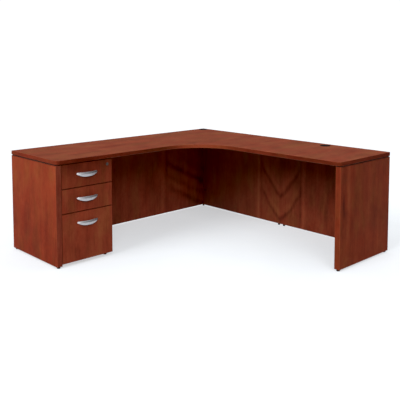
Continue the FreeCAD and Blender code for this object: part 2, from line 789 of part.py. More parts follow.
def cut_crescent(body, pull):
    """Cuts the bow's lower edge to a smile: level in the middle, rising in two arcs to thin tips."""
    sketch = new_sketch(body, pull + "_smile", "YZ_Plane")
    half = value("pull_span/2")
    flat = value("pull_flat/2")
    rise = value(SMILE_DEPTH)
    over = value("overshoot")
    radius = value(SMILE_RADIUS)
    swing = math.asin((half - flat) / radius)
    down = -math.pi / 2
    arcs = []
    for side, first, last in ((1, down, down + swing), (-1, down - swing, down)):
        circle = Part.Circle(FreeCAD.Vector(side * flat, radius, 0), FreeCAD.Vector(0, 0, 1), radius)
        arcs.append(sketch.addGeometry(Part.ArcOfCircle(circle, first, last), False))
    right, left = arcs
    points = (
        FreeCAD.Vector(half, rise, 0),
        FreeCAD.Vector(half + over, rise, 0),
        FreeCAD.Vector(half + over, -over, 0),
        FreeCAD.Vector(-half - over, -over, 0),
        FreeCAD.Vector(-half - over, rise, 0),
        FreeCAD.Vector(-half, rise, 0),
    )
    lines = [
        sketch.addGeometry(Part.LineSegment(start, end), False)
        for start, end in zip(points, points[1:])
    ]
    ends = FreeCAD.Vector(-flat, 0, 0), FreeCAD.Vector(flat, 0, 0)
    level = sketch.addGeometry(Part.LineSegment(*ends), False)
    for before, after in zip(lines, lines[1:]):
        sketch.addConstraint(Sketcher.Constraint("Coincident", before, 2, after, 1))
    for line in (lines[0], lines[2], lines[4]):
        sketch.addConstraint(Sketcher.Constraint("Horizontal", line))
    for line in (lines[1], lines[3]):
        sketch.addConstraint(Sketcher.Constraint("Vertical", line))
    sketch.addConstraint(Sketcher.Constraint("Coincident", right, 2, lines[0], 1))
    sketch.addConstraint(Sketcher.Constraint("Coincident", lines[-1], 2, left, 1))
    sketch.addConstraint(Sketcher.Constraint("Tangent", left, 2, level, 1))
    sketch.addConstraint(Sketcher.Constraint("Tangent", level, 2, right, 1))
    sketch.addConstraint(Sketcher.Constraint("Symmetric", level, 1, level, 2, -2))
    sketch.addConstraint(Sketcher.Constraint("PointOnObject", level, 2, -1))
    sketch.addConstraint(Sketcher.Constraint("Symmetric", left, 1, right, 2, -2))
    rules = (
        ("flat", Sketcher.Constraint("DistanceX", level, 1, level, 2, 2 * flat), "pull_flat"),
        ("span", Sketcher.Constraint("DistanceX", left, 1, right, 2, 2 * half), "pull_span"),
        ("rise", Sketcher.Constraint("DistanceY", -1, 1, right, 2, rise), SMILE_DEPTH),
        ("right", Sketcher.Constraint("DistanceX", lines[0], 1, lines[0], 2, over), "overshoot"),
        ("left", Sketcher.Constraint("DistanceX", lines[4], 1, lines[4], 2, over), "overshoot"),
        ("below", Sketcher.Constraint("DistanceY", lines[2], 1, -1, 1, over), "overshoot"),
    )
    for name, rule, formula in rules:
        name_distance(sketch, name, rule, formula)
    pocket = body.newObject("PartDesign::Pocket", pull + "_crescent")
    pocket.Profile = sketch
    pocket.Reversed = True
    bind(pocket, "Length", f"{PULL_RADIUS}+overshoot")
    before = body.Shape.Volume
    doc.recompute()
    if body.Shape.Volume >= before:
        raise ValueError(f"{pull}: the crescent isn't cut")


def make_pull(drawer, low, height):
    """Crescent pull. Its own frame has X out of the drawer front, X 0 on the bow's axis, Z 0 at its foot."""
    label = f"{drawer}_drawer_pull"
    body = new_body(label)
    bow = body.newObject("PartDesign::Revolution", label + "_bow")
    bow.Profile = pull_section(body)
    bow.ReferenceAxis = (bow.Profile[0], ["V_Axis"])
    bow.Angle = 180
    bow.Midplane = True
    doc.recompute()
    behind = (f"{PULL_CHORD}+overshoot", f"2*{PULL_RADIUS}+2*overshoot", "pull_height+2*overshoot")
    corner = ("-overshoot", f"-{PULL_RADIUS}-overshoot", "-overshoot")
    add_block(body, label + "_behind", behind, corner, kind="Subtractive")
    doc.recompute()
    cut_crescent(body, label)
    for side in (-1, 1):
        start = (PULL_CHORD, f"({side})*post_spacing/2", "pull_height-pull_screw_drop")
        add_post(body, f"{label}_post_{side + 1}", "post_radius", "post_length", start, ALONG_X)
        thread_start = (f"{PULL_CHORD}-overshoot", start[1], start[2])
        drill(body, f"{label}_thread_{side + 1}", "pull_screw_radius+hole_clearance", "pull_thread_depth",
              thread_start, ALONG_X)
    place(body, f"{LEFT}+panel_depth-{PULL_CHORD}", PULL_CENTRE, f"{low}+{height}-pull_drop-pull_height")
    keep(body, label)


def make_pull_screws(drawer, low, height, pattern):
    z = f"{low}+{height}-pull_drop-pull_screw_drop"
    sides = [f"{PULL_CENTRE}+({side})*post_spacing/2" for side in (-1, 1)]
    places = [at(FRONT_BACK_FACE, y, z, ALONG_X) for y in sides]
    copies(f"{drawer}_drawer_pull_screws", pattern, places)


def make_drawer(drawer, pull_screw):
    low, height, side_height = DRAWERS[drawer]
    make_drawer_front(drawer, low, height)
    make_drawer_box(drawer, low, side_height)
    make_pull(drawer, low, height)
    make_pull_screws(drawer, low, height, pull_screw)
    z = slide_centre(drawer)
    middle = channel_pair(
        f"{drawer}_middle", z, "middle_height", "middle_width", "middle_offset", True)
    compound(f"{drawer}_middle_slide_members", middle)
    inner = channel_pair(f"{drawer}_inner", z, "inner_height", "inner_width", "slide_room", False)
    compound(f"{drawer}_drawer_slide_members", inner)


def make_file_rails():
    """Two steel rails on the file drawer's sides, which hanging folders hook over."""
    low, _, side_height = DRAWERS["file"]
    z = f"{low}+box_lift+{side_height}"
    length = "(box_length-2*side_thick)"
    rails = []
    for side, y in (("left", f"{BOX_LEFT}+side_thick/2"), ("right", f"{BOX_RIGHT}-side_thick/2")):
        corner = (f"{BOX_BACK}+side_thick", f"{y}-file_rail_thick/2", z)
        rails.append(board(f"{side}_file_rail", (length, "file_rail_thick", "file_rail_height"), corner))
    compound("file_drawer_hanging_rails", rails)


# ------------------------------------------------------------------------------------------------- lock


def lock_place(body, x):
    low, height, _ = DRAWERS["top"]
    place(body, x, LOCK_Y, f"{low}+{height}-lock_drop", ALONG_X)


def make_lock():
    """Cam lock whose key turns about X. The housing and the plug share one axis."""
    housing = turned("lock_housing", (
        ("+x", "lock_radius"),
        ("+y", "lock_tail+front_thick"),
        ("+x", "bezel_radius-lock_radius"),
        ("+y", "bezel_thick"),
        ("-x", "bezel_radius"),
        ("-y", "lock_tail+front_thick+bezel_thick"),
    ))
    drill(housing, "plug_bore", "plug_radius+running_clearance",
          "lock_tail+front_thick+bezel_thick+2*overshoot", ("0", "0", "-overshoot"))
    lock_place(housing, f"{FRONT_BACK_FACE}-lock_tail")
    keep(housing, "lock_housing")
    plug = turned("lock_plug", (
        ("+x", "plug_radius"),
        ("+y", "lock_tail+front_thick+bezel_thick+plug_proud"),
        ("-x", "plug_radius"),
        ("-y", "lock_tail+front_thick+bezel_thick+plug_proud"),
    ))
    keyway = ("keyway_long", "keyway_wide", "keyway_deep+overshoot")
    floor = "lock_tail+front_thick+bezel_thick+plug_proud-keyway_deep"
    corner = ("-keyway_long/2", "-keyway_wide/2", floor)
    add_block(plug, "keyway", keyway, corner, kind="Subtractive")
    lock_place(plug, f"{FRONT_BACK_FACE}-lock_tail")
    keep(plug, "lock_plug")
    cam = new_body("lock_cam")
    add_block(cam, "cam_arm", ("cam_thick", "cam_reach", "cam_width"), ("0", "-cam_reach", "-cam_width/2"))
    add_post(cam, "cam_hub", "plug_radius+1", "cam_thick", ("0", "0", "0"), ALONG_X)
    low, height, _ = DRAWERS["top"]
    place(cam, f"{FRONT_BACK_FACE}-lock_tail-cam_thick", LOCK_Y, f"{low}+{height}-lock_drop")
    doc.recompute()
    keep(cam, "lock_cam")


def make_strike():
    """Angle under the front rail. The locked cam stands behind its lip."""
    body = new_body("lock_strike")
    lip = f"({FRONT_BACK_FACE}-lock_tail+strike_room)"
    plate = ("strike_length", "strike_width", "cam_thick")
    add_block(body, "strike_plate", plate, ("cam_thick-strike_length", "-strike_width/2", "-cam_thick"))
    drop = ("cam_thick", "strike_width", "strike_drop")
    add_block(body, "strike_lip", drop, ("0", "-strike_width/2", "-strike_drop"))
    place(body, lip, f"{LOCK_Y}-strike_shift", f"{SUPPORT_TOP}-case_thick")
    doc.recompute()
    keep(body, "lock_strike")


# --------------------------------------------------------------------------------------------- grommets


def make_grommets():
    """Black sleeves with a flange on the worktop, and caps with a notch for the cables."""
    sleeve_outer = "(grommet_radius-running_clearance)"
    bore = f"({sleeve_outer}-sleeve_wall)"
    sleeves = []
    for name, x, depth_in in grommet_places():
        sleeve = turned(f"{name}_sleeve", (
            ("+x", sleeve_outer),
            ("+y", "top_thick"),
            ("+x", f"flange_radius-{sleeve_outer}"),
            ("+y", "flange_thick"),
            ("-x", "flange_radius"),
            ("-y", "top_thick+flange_thick"),
        ))
        ledge_top = "(top_thick+flange_thick-cap_thick)"
        below = ("0", "0", "-overshoot")
        through = "top_thick+flange_thick+2*overshoot"
        drill(sleeve, f"{name}_sleeve_bore", f"{bore}-ledge_width", through, below)
        drill(sleeve, f"{name}_sleeve_seat", bore, "cap_thick+overshoot", ("0", "0", ledge_top))
        drill(sleeve, f"{name}_sleeve_throat", bore, f"{ledge_top}-ledge_thick+overshoot", below)
        ease(sleeve, sleeve.Tip, "flange_ease", is_flange_rim)
        place(sleeve, f"{LEFT}+{x}", f"{BACK}-{depth_in}", TOP_UNDERSIDE)
        sleeves.append(sleeve)
        make_grommet_cap(name, f"{LEFT}+{x}", f"{BACK}-{depth_in}", f"({bore}-cap_clearance)")
    compound("grommet_sleeves", sleeves)


def is_flange_rim(edge):
    widest = edge.BoundBox.XLength > value("2*flange_radius") - SAME_LENGTH
    return widest and edge.BoundBox.ZMin > value("top_thick+flange_thick") - SAME_LENGTH


def make_grommet_cap(name, x, y, radius):
    """Disc flush with the flange, with a notch in the rim on the side away from the back edge."""
    label = f"{name}_grommet_cap"
    cap = turned(label, (
        ("+x", radius),
        ("+y", "cap_thick"),
        ("-x", radius),
        ("-y", "cap_thick"),
    ))
    notch = ("notch_width", "notch_depth", "cap_thick+2*overshoot")
    corner = ("-notch_width/2", f"-{radius}-overshoot", "-overshoot")
    add_block(cap, label + "_notch", notch, corner, kind="Subtractive")
    place(cap, x, y, "desk_height+flange_thick-cap_thick")
    doc.recompute()
    keep(cap, label)


# ----------------------------------------------------------------------------------------------- glides


def make_glides():
    for name, (x, y, radius, lift) in GLIDES.items():
        stem = "case_stem_length" if lift == "case_foot" else "stem_length"
        label = f"{name}_glide"
        glide = turned(label, (
            ("+x", radius),
            ("+y", "glide_foot"),
            ("-x", f"{radius}-neck_radius"),
            ("+y", f"{lift}-glide_foot"),
            ("-x", "neck_radius-stem_radius"),
            ("+y", stem),
            ("-x", "stem_radius"),
            ("-y", f"{lift}+{stem}"),
        ), "glide_ease", lambda edge, wide=value(f"2*{radius}"): edge.BoundBox.XLength > wide - SAME_LENGTH)
        place(glide, x, y, "0")
        keep(glide, label)


# ------------------------------------------------------------------------------------ brackets, screws


def bracket_pattern():
    """Steel angle: one leg on a wall that looks along +X, the other against a ceiling, corner at 0, 0, 0."""
    body = new_body("bracket_pattern")
    wall = ("bracket_metal", "bracket_width", "bracket_leg")
    add_block(body, "wall_leg", wall, ("0", "-bracket_width/2", "-bracket_leg"))
    ceiling = ("bracket_leg", "bracket_width", "bracket_metal")
    add_block(body, "ceiling_leg", ceiling, ("0", "-bracket_width/2", "-bracket_metal"))
    depth = "bracket_metal+2*overshoot"
    drill(body, "wall_hole", SCREW_HOLE, depth, ("-overshoot", "0", "-bracket_hole"), ALONG_X)
    drill(body, "ceiling_hole", SCREW_HOLE, depth, ("bracket_hole", "0", "-bracket_metal-overshoot"))
    return body


def headed_screw(name, length, radius="screw_radius"):
    """Pan-head screw along +Z with a cross slot, the underside of its head at Z 0."""
    body = turned(name, (
        ("+x", radius),
        ("+y", length),
        ("-x", radius),
        ("-y", length),
    ))
    add_post(body, name + "_head", "screw_head_radius", "screw_head", ("0", "0", "-screw_head"))
    doc.recompute()
    for stroke, long, wide in (("slot", "slot_long", "slot_wide"), ("cross", "slot_wide", "slot_long")):
        corner = (f"-{long}/2", f"-{wide}/2", "-screw_head-overshoot")
        add_block(body, f"{name}_{stroke}", (long, wide, "slot_deep+overshoot"), corner, kind="Subtractive")
    doc.recompute()
    return body


def bracket_placements():
    places = []
    for x, y, facing in TOP_BRACKETS:
        places.append(at(x, y, TOP_UNDERSIDE, turn(0, 0, 1, FACING[facing][2])))
    in_corner = turn(1, 0, 0, -90)
    at_right_end = FreeCAD.Rotation(
        FreeCAD.Vector(-1, 0, 0), FreeCAD.Vector(0, 0, 1), FreeCAD.Vector(0, 1, 0), "XYZ")
    for height in UPRIGHT_BRACKET_HEIGHTS:
        places.append(at(f"{LEFT}+modesty_thick", f"{BACK}-modesty_thick", height, in_corner))
        places.append(at(f"{RIGHT}-end_thick", f"{BACK}-modesty_thick", height, at_right_end))
    return places


def make_brackets():
    bracket = bracket_pattern()
    places = bracket_placements()
    copies("steel_brackets", bracket, places)
    screw = headed_screw("bracket_screw_pattern", "bracket_screw_length")
    metal = value("bracket_metal")
    reach = value("bracket_hole")
    into_wall = FreeCAD.Placement(FreeCAD.Vector(metal, 0, -reach), ALONG_MINUS_X)
    into_ceiling = FreeCAD.Placement(FreeCAD.Vector(reach, 0, -metal), FreeCAD.Rotation())
    screws = [place_on.multiply(seat) for place_on in places for seat in (into_wall, into_ceiling)]
    copies("bracket_screws", screw, screws)
    discard(bracket, screw)


def make_pedestal_screws():
    screw = headed_screw("pedestal_screw_pattern", "pedestal_screw_length")
    places = []
    for x, z in side_screw_places():
        places.append(at(x, f"{CASE_START}+case_thick", z, ALONG_MINUS_Y))
    for x, y in pedestal_screw_places():
        places.append(at(x, y, f"{SUPPORT_TOP}-case_thick"))
    copies("pedestal_screws", screw, places)
    discard(screw)


def discard(*patterns):
    """Removes patterns whose copies are made, so that only the desk's pieces stay in the document."""
    for pattern in patterns:
        pattern.removeObjectsFromDocument()
        doc.removeObject(pattern.Name)


# ------------------------------------------------------------------------------------------------ model


def make_desk():
    fill_sheet()
    make_worktop()
    make_left_end_panel()
    make_right_end_panel()
    make_left_modesty_panel()
    make_right_modesty_panel()
    make_reveal_strips()
    make_pedestal_sides()
    make_pedestal_inside()
    make_case_slides()
    pull_screw = headed_screw("pull_screw_pattern", "front_thick+pull_screw_reach", "pull_screw_radius")
    for drawer in DRAWERS:
        make_drawer(drawer, pull_screw)
    discard(pull_screw)
    make_file_rails()
    make_lock()
    make_strike()
    make_grommets()
    make_glides()
    make_brackets()
    make_pedestal_screws()
    doc.recompute()


def check_document():
    for obj in doc.Objects:
        faults = [state for state in obj.State if state in ("Invalid", "Error")]
        if faults:
            raise ValueError(f"{obj.Name} is {faults}")
    for node in nodes:
        if node.Shape.isNull() or not node.Shape.isValid():
            raise ValueError(f"{node.Label} has no valid shape")


def write_parts():
    os.makedirs("parts", exist_ok=True)
    for node in nodes:
        node.Shape.exportStep(f"parts/{node.Label}.step")
        box = node.Shape.BoundBox
        low = f"{box.XMin:8.1f} {box.YMin:8.1f} {box.ZMin:7.1f}"
        high = f"{box.XMax:8.1f} {box.YMax:8.1f} {box.ZMax:7.1f}"
        print(f"{node.Label:32s} {len(node.Shape.Solids):2d} solids, {low} to {high}")
    print(f"{len(nodes)} nodes")


make_desk()
check_document()
write_parts()
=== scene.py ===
"""Looks for the corner desk: veneer, steel, plastic, pulls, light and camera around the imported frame."""

import math

import bmesh
import bpy
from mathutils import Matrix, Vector


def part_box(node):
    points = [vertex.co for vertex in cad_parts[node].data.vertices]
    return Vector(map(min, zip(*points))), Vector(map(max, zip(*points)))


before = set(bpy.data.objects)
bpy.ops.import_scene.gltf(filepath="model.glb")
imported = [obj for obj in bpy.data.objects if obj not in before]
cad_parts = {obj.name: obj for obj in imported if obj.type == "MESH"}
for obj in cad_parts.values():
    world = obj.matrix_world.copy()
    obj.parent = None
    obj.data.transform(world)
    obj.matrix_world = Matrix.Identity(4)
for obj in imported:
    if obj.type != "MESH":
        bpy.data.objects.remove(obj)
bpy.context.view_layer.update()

DRAWERS = ("file", "middle", "top")


class Graph:
    """Short ways to add nodes to one tree. An input may be a number, a colour or another node's output."""

    def __init__(self, tree):
        self.tree = tree

    def node(self, kind, **settings):
        made = self.tree.nodes.new(kind)
        for key, value in settings.items():
            setattr(made, key, value)
        return made

    def feed(self, socket, value):
        if isinstance(value, bpy.types.NodeSocket):
            self.tree.links.new(value, socket)
        elif value is not None:
            socket.default_value = value

    def math(self, operation, first, second=None, third=None, clamp=False):
        made = self.node("ShaderNodeMath", operation=operation, use_clamp=clamp)
        for socket, value in zip(made.inputs, (first, second, third)):
            self.feed(socket, value)
        return made.outputs[0]

    def combine(self, x, y, z):
        made = self.node("ShaderNodeCombineXYZ")
        for socket, value in zip(made.inputs, (x, y, z)):
            self.feed(socket, value)
        return made.outputs[0]

    def split(self, vector):
        made = self.node("ShaderNodeSeparateXYZ")
        self.feed(made.inputs[0], vector)
        return made.outputs

    def noise(self, vector, scale=1.0, detail=2.0, roughness=0.5, distortion=0.0):
        made = self.node("ShaderNodeTexNoise")
        self.feed(made.inputs["Vector"], vector)
        self.feed(made.inputs["Scale"], scale)
        self.feed(made.inputs["Detail"], detail)
        self.feed(made.inputs["Roughness"], roughness)
        self.feed(made.inputs["Distortion"], distortion)
        return made.outputs["Fac"]

    def spread(self, value, low, high, out_low=0.0, out_high=1.0, smooth=True):
        made = self.node("ShaderNodeMapRange", clamp=True)
        made.interpolation_type = "SMOOTHSTEP" if smooth else "LINEAR"
        for socket, number in zip(made.inputs, (value, low, high, out_low, out_high)):
            self.feed(socket, number)
        return made.outputs[0]

    def ramp(self, value, stops):
        made = self.node("ShaderNodeValToRGB")
        elements = made.color_ramp.elements
        while len(elements) < len(stops):
            elements.new(0.5)
        for element, (place, colour) in zip(elements, stops):
            element.position = place
            element.color = (*colour, 1.0)
        self.feed(made.inputs[0], value)
        return made.outputs["Color"]

    def blend(self, share, first, second, mode="MIX"):
        made = self.node("ShaderNodeMix", data_type="RGBA", blend_type=mode)
        self.feed(made.inputs[0], share)
        for socket, value in ((made.inputs[6], first), (made.inputs[7], second)):
            if isinstance(value, tuple):
                value = (*value, 1.0)
            self.feed(socket, value)
        return made.outputs[2]

    def pick(self, flag, yes, no):
        """One of two numbers: yes where flag is 1, no where it is 0."""
        made = self.node("ShaderNodeMix", data_type="FLOAT")
        for socket, value in zip((made.inputs[0], made.inputs[2], made.inputs[3]), (flag, no, yes)):
            self.feed(socket, value)
        return made.outputs[0]

    def bump(self, height, strength, distance):
        made = self.node("ShaderNodeBump")
        self.feed(made.inputs["Strength"], strength)
        self.feed(made.inputs["Distance"], distance)
        self.feed(made.inputs["Height"], height)
        return made.outputs["Normal"]

    def place(self):
        return self.node("ShaderNodeTexCoord").outputs["Object"]

    def facing(self):
        """How far the surface faces along X, Y and Z, each from 0 to 1."""
        normal = self.split(self.node("ShaderNodeTexCoord").outputs["Normal"])
        return [self.math("ABSOLUTE", axis) for axis in normal]


def new_material(name):
    material = bpy.data.materials.new(name)
    material.use_nodes = True
    material.node_tree.nodes.clear()
    graph = Graph(material.node_tree)
    output = graph.node("ShaderNodeOutputMaterial")
    shader = graph.node("ShaderNodeBsdfPrincipled")
    material.node_tree.links.new(shader.outputs[0], output.inputs[0])
    return material, graph, shader.inputs


# Cherry veneer: its colour from the darkest to the palest wood, hues from redder to yellower, and its pores.
CHERRY_TONES = (
    (0.00, (0.045, 0.0070, 0.0042)),
    (0.22, (0.115, 0.0180, 0.0092)),
    (0.50, (0.215, 0.0385, 0.0190)),
    (0.72, (0.275, 0.0590, 0.0280)),
    (1.00, (0.370, 0.1150, 0.0520)),
)
CHERRY_HUES = ((0.32, (1.05, 0.90, 0.86)), (0.50, (1.0, 1.0, 0.97)), (0.68, (0.96, 1.22, 0.98)))
PORE_COLOUR = (0.035, 0.004, 0.002)


def make_cherry_group():
    """One sheet of cherry veneer. Along and Across are metres on it; Mark makes it lighter or darker."""
    tree = bpy.data.node_groups.new("cherry", "ShaderNodeTree")
    for name in ("Along", "Across", "Seed", "Mark"):
        tree.interface.new_socket(name, in_out="INPUT", socket_type="NodeSocketFloat")
    for name, kind in (("Colour", "Color"), ("Roughness", "Float"), ("Height", "Float")):
        tree.interface.new_socket(name, in_out="OUTPUT", socket_type=f"NodeSocket{kind}")
    graph = Graph(tree)
    given = graph.node("NodeGroupInput").outputs
    along, across, seed = given["Along"], given["Across"], given["Seed"]

    def layer(width, along_scale, across_scale, shift, **settings):
        point = graph.combine(graph.math("MULTIPLY", along, along_scale),
                              graph.math("MULTIPLY", width, across_scale),
                              graph.math("ADD", seed, shift))
        return graph.noise(point, **settings)

    drift = layer(across, 0.9, 2.2, 0.0, detail=1.0)
    bent = graph.math("ADD", across, graph.math("MULTIPLY", graph.math("SUBTRACT", drift, 0.5), 0.05))
    broad = layer(bent, 0.7, 9.0, 3.1, detail=2.0)
    bands = layer(bent, 1.1, 42.0, 5.7, detail=3.0, roughness=0.55)
    lines = layer(bent, 3.4, 125.0, 9.2, detail=3.0, roughness=0.6)
    fleck = layer(bent, 24.0, 62.0, 6.1, detail=3.0, roughness=0.6)
    fibre = layer(bent, 16.0, 900.0, 2.4, detail=2.0)
    pores = graph.spread(layer(bent, 55.0, 1500.0, 7.7, detail=1.0), 0.63, 0.74)
    mottle = layer(across, 5.0, 8.5, 0.0, detail=4.0, roughness=0.62)
    flame = layer(across, 2.6, 11.0, 12.0, detail=2.0, distortion=1.4)
    warmth = layer(across, 3.1, 7.5, 21.0, detail=3.0, roughness=0.6, distortion=0.6)

    tone = 0.5
    for value, weight in ((broad, 0.20), (bands, 0.16), (lines, 0.26), (fleck, 0.26),
                          (fibre, 0.22), (mottle, 0.55), (flame, 0.22)):
        tone = graph.math("MULTIPLY_ADD", graph.math("SUBTRACT", value, 0.5), weight, tone)
    tone = graph.math("ADD", tone, given["Mark"])
    colour = graph.blend(1.0, graph.ramp(tone, CHERRY_TONES), graph.ramp(warmth, CHERRY_HUES), "MULTIPLY")
    colour = graph.blend(graph.math("MULTIPLY", pores, 0.30), colour, PORE_COLOUR)
    roughness = 0.42
    for value, weight in ((lines, 0.16), (mottle, 0.10)):
        roughness = graph.math("MULTIPLY_ADD", graph.math("SUBTRACT", value, 0.5), weight, roughness)
    height = graph.math("SUBTRACT", graph.math("MULTIPLY", fibre, 0.5), graph.math("MULTIPLY", pores, 0.7))
    height = graph.math("ADD", height, graph.math("MULTIPLY", lines, 0.4))

    result = graph.node("NodeGroupOutput").inputs
    graph.feed(result["Colour"], colour)
    graph.feed(result["Roughness"], roughness)
    graph.feed(result["Height"], height)
    return tree


CHERRY = make_cherry_group()
AXES = "XYZ"
ALONG_AN_AXIS = 0.6  # a surface that faces further than this along an axis counts as facing it
ARRIS = (0.0006, 0.0028)  # metres from a board's edge where the colour on its arrises starts to fade and where it ends
BAND_SEED_STEP = 3.3  # keeps the bands on the edges from repeating the face's grain


def near_edge(graph, low, high, point):
    """1 on the arrises of a rectangular board and 0 away from them."""
    gaps = []
    for axis in range(3):
        middle, half = (low[axis] + high[axis]) / 2, (high[axis] - low[axis]) / 2
        offset = graph.math("ABSOLUTE", graph.math("SUBTRACT", point[axis], middle))
        gaps.append(graph.math("SUBTRACT", half, offset))
    small = graph.math("MINIMUM", gaps[0], gaps[1])
    large = graph.math("MAXIMUM", gaps[0], gaps[1])
    second = graph.math("MAXIMUM", small, graph.math("MINIMUM", large, gaps[2]))
    return graph.spread(second, *ARRIS, 1.0, 0.0)


# How strongly an arris is coloured, and its colour.
# Pale arrises: rubbed wear on the boards, and a painted highlight along the worktop's top arris.
WEAR_AND_HIGHLIGHT = (0.30, (0.40, 0.10, 0.045))
# Dark arrises for the drawer fronts: painted shade in the gaps between them.
PAINTED_GAP_SHADE = (0.85, (0.030, 0.006, 0.003))
HIDDEN_TOP = Vector((0.0, 0.0, 0.05))  # lifts the top arris of a board under the worktop clear of rubbing
PLAIN = (1.0, 1.0, 1.0)


def finish_veneer(graph, shader, sheet, arris_mask, tint, arris):
    """Joins a veneer group to the shader. Arrises are made lighter, by rubbed wear on boards and as a painted
    highlight on the worktop's top arris, or darker as painted shade in the gaps between drawer fronts.
    """
    colour = graph.blend(1.0, sheet["Colour"], tint, "MULTIPLY")
    colour = graph.blend(graph.math("MULTIPLY", arris_mask, arris[0]), colour, arris[1])
    graph.feed(shader["Base Color"], colour)
    graph.feed(shader["Roughness"], graph.math("MULTIPLY_ADD", arris_mask, 0.08, sheet["Roughness"]))
    graph.feed(shader["Normal"], graph.bump(sheet["Height"], 0.22, 0.0004))


def board_material(node, along, across, seed, mark=None, tint=PLAIN, band_tint=None, arris=WEAR_AND_HIGHLIGHT,
                   sheen=0.06):
    """Veneer on a flat board. Its grain runs along one axis; the bands on its edges run with each edge."""
    material, graph, shader = new_material(f"cherry_{node}")
    point = graph.split(graph.place())
    a, c = AXES.index(along), AXES.index(across)
    t = 3 - a - c
    facing = graph.facing()
    on_end = graph.math("GREATER_THAN", facing[a], ALONG_AN_AXIS)
    on_side = graph.math("GREATER_THAN", facing[c], ALONG_AN_AXIS)
    banded = graph.math("MAXIMUM", on_end, on_side)

    run = graph.pick(on_end, point[c], point[a])
    cross = graph.pick(on_side, point[t], point[c])
    cross = graph.pick(on_end, point[t], cross)
    made = graph.node("ShaderNodeGroup", node_tree=CHERRY)
    graph.feed(made.inputs["Along"], run)
    graph.feed(made.inputs["Across"], cross)
    graph.feed(made.inputs["Seed"], graph.math("MULTIPLY_ADD", banded, BAND_SEED_STEP, seed))
    on_face = graph.math("SUBTRACT", 1.0, banded)
    if mark:
        graph.feed(made.inputs["Mark"], graph.math("MULTIPLY", mark(graph, point), on_face))
    low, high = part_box(node)
    if arris is WEAR_AND_HIGHLIGHT:
        high = high + HIDDEN_TOP
    if band_tint:
        tint = graph.blend(banded, tint, band_tint)
    finish_veneer(graph, shader, made.outputs, near_edge(graph, low, high, point), tint, arris)
    shader["Specular IOR Level"].default_value = sheen
    return material


def stripe(graph, value, centre, width):
    """1 on a line across the sheet, falling smoothly to 0 at width from it."""
    gap = graph.math("ABSOLUTE", graph.math("SUBTRACT", value, centre))
    return graph.spread(gap, 0.0, width, 1.0, 0.0)


def crowns(graph, point, aside, rise, bend, tips):
    """Growth rings: dark arms climb away from each tip and hold a paler patch.

    A tip is its height, how dark its arms are and how pale its patch is.
    """
    wobble = graph.noise(graph.combine(*point), scale=9.0, detail=2.0)
    climb = graph.math("MULTIPLY", graph.math("POWER", aside, bend), rise)
    level = graph.math("SUBTRACT", point[2], climb)
    level = graph.math("MULTIPLY_ADD", graph.math("SUBTRACT", wobble, 0.5), 0.06, level)
    total = 0.0
    for height, dark, pale in tips:
        arm = graph.math("MULTIPLY", stripe(graph, level, height, 0.042), -dark)
        patch = graph.math("MULTIPLY", stripe(graph, level, height + 0.060, 0.050), pale)
        total = graph.math("ADD", total, graph.math("ADD", arm, patch))
    return total


def right_modesty_mark(graph, point):
    """Three sheets side by side, the middle one with a crown figure, and painted shade darkening towards the
    inner corner.
    """
    middle, half = -0.018, 0.230
    aside = graph.math("ABSOLUTE", graph.math("SUBTRACT", point[0], middle))
    light = stripe(graph, aside, half + 0.014, 0.026)
    dark = stripe(graph, aside, half - 0.018, 0.018)
    seams = graph.math("MULTIPLY_ADD", dark, -0.09, graph.math("MULTIPLY", light, 0.19))
    tips = ((0.253, 0.20, 0.10), (0.046, 0.20, 0.09))
    figure = crowns(graph, point, aside, 1.75, 1.25, tips)
    figure = graph.math("MULTIPLY", figure, graph.spread(aside, half - 0.055, half - 0.005, 1.0, 0.0))
    slope = graph.spread(point[0], -0.60, 0.50, 0.08, -0.08)
    # Painted shade: darker towards the inner corner.
    corner = graph.spread(point[0], -0.97, -0.72, -0.16, 0.0)
    return graph.math("ADD", graph.math("ADD", seams, figure), graph.math("ADD", slope, corner))


def left_modesty_mark(graph, point):
    """Two sheets side by side, the far one with half a crown figure that closes in the corner, and painted
    shade darkening towards the inner corner.
    """
    seam = 0.500
    light = stripe(graph, point[1], seam - 0.036, 0.040)
    dark = stripe(graph, point[1], seam + 0.012, 0.018)
    seams = graph.math("MULTIPLY_ADD", dark, -0.09, graph.math("MULTIPLY", light, 0.18))
    aside = graph.math("SUBTRACT", 0.980, point[1], clamp=True)
    tips = ((0.235, 0.20, 0.10), (0.120, 0.08, 0.06), (0.017, 0.17, 0.06))
    figure = crowns(graph, point, aside, 0.50, 1.0, tips)
    figure = graph.math("MULTIPLY", figure, graph.spread(point[1], seam, seam + 0.050))
    # Painted shade: darker towards the inner corner.
    corner = graph.spread(point[1], 0.74, 0.97, 0.0, -0.16)
    return graph.math("ADD", graph.math("ADD", seams, figure), corner)


def painted_reveal_shade(graph, point, node):
    """Painted shade along the top of a board, in the reveal gap under the worktop."""
    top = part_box(node)[1].z
    return graph.spread(point[2], top - 0.0050, top - 0.0015, 0.0, -0.60)


def right_end_mark(graph, point):
    """A dark heart streak beside the front edge at half height, with a pale band next to it, and painted
    shade along the top under the worktop.
    """
    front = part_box("right_end_panel")[0].y
    wander = graph.noise(graph.combine(0.0, 0.0, graph.math("MULTIPLY", point[2], 4.0)), detail=1.0)
    across = graph.math("MULTIPLY_ADD", graph.math("SUBTRACT", wander, 0.5), 0.04, point[1])
    dark = stripe(graph, across, front + 0.040, 0.026)
    dark = graph.math("MULTIPLY", dark, stripe(graph, point[2], 0.43, 0.16))
    pale = stripe(graph, across, front + 0.100, 0.034)
    pale = graph.math("MULTIPLY", pale, graph.spread(point[2], 0.10, 0.30))
    streaks = graph.math("MULTIPLY_ADD", dark, -0.24, graph.math("MULTIPLY", pale, 0.20))
    return graph.math("ADD", streaks, painted_reveal_shade(graph, point, "right_end_panel"))


